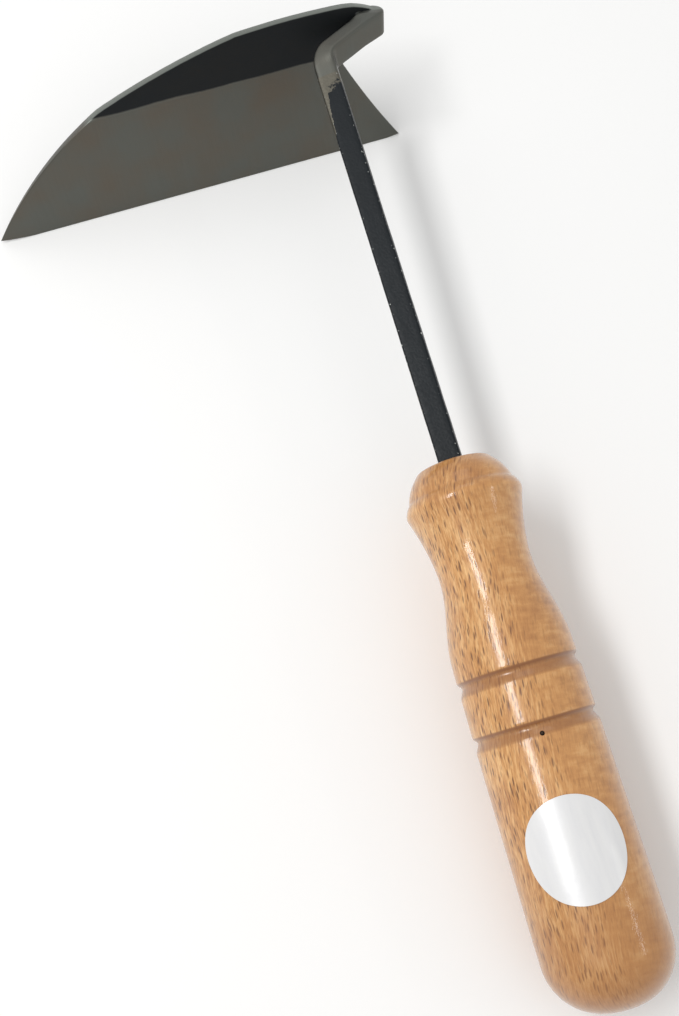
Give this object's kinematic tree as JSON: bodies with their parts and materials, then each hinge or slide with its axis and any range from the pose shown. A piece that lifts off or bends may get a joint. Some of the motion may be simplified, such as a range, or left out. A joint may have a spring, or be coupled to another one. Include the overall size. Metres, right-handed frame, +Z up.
{
  "type": "draw hoe",
  "caption": "Hand draw hoe: half-moon ground blade on a folded, cranked neck, square forged shank and turned beech handle.",
  "frame": {"origin": "on the ground under the middle of the whole hoe, as it lies on its cutting edge and on the round of its butt", "axes": "+Z up, +Y from the butt of the handle towards the blade, along the shank seen from above, +X to the right of someone holding the handle; the blade reaches to -X"},
  "size_m": [0.1222, 0.2632, 0.0418],
  "materials": {
    "blade_iron": "ground bevel, forge-blackened above it",
    "blade_edge": "ground, fine scratches",
    "forged_bar": "blue-black forge scale",
    "beech": "turned and lacquered",
    "pin_steel": "dark nail end",
    "foil_label": "silver foil sticker, plain"
  },
  "bodies": {
    "root": {"blade_body": "blade_iron", "edge_steel": "blade_edge", "shank": "forged_bar", "handle": "beech", "tang_pin": "pin_steel", "label": "foil_label"}
  },
  "joints": []
}
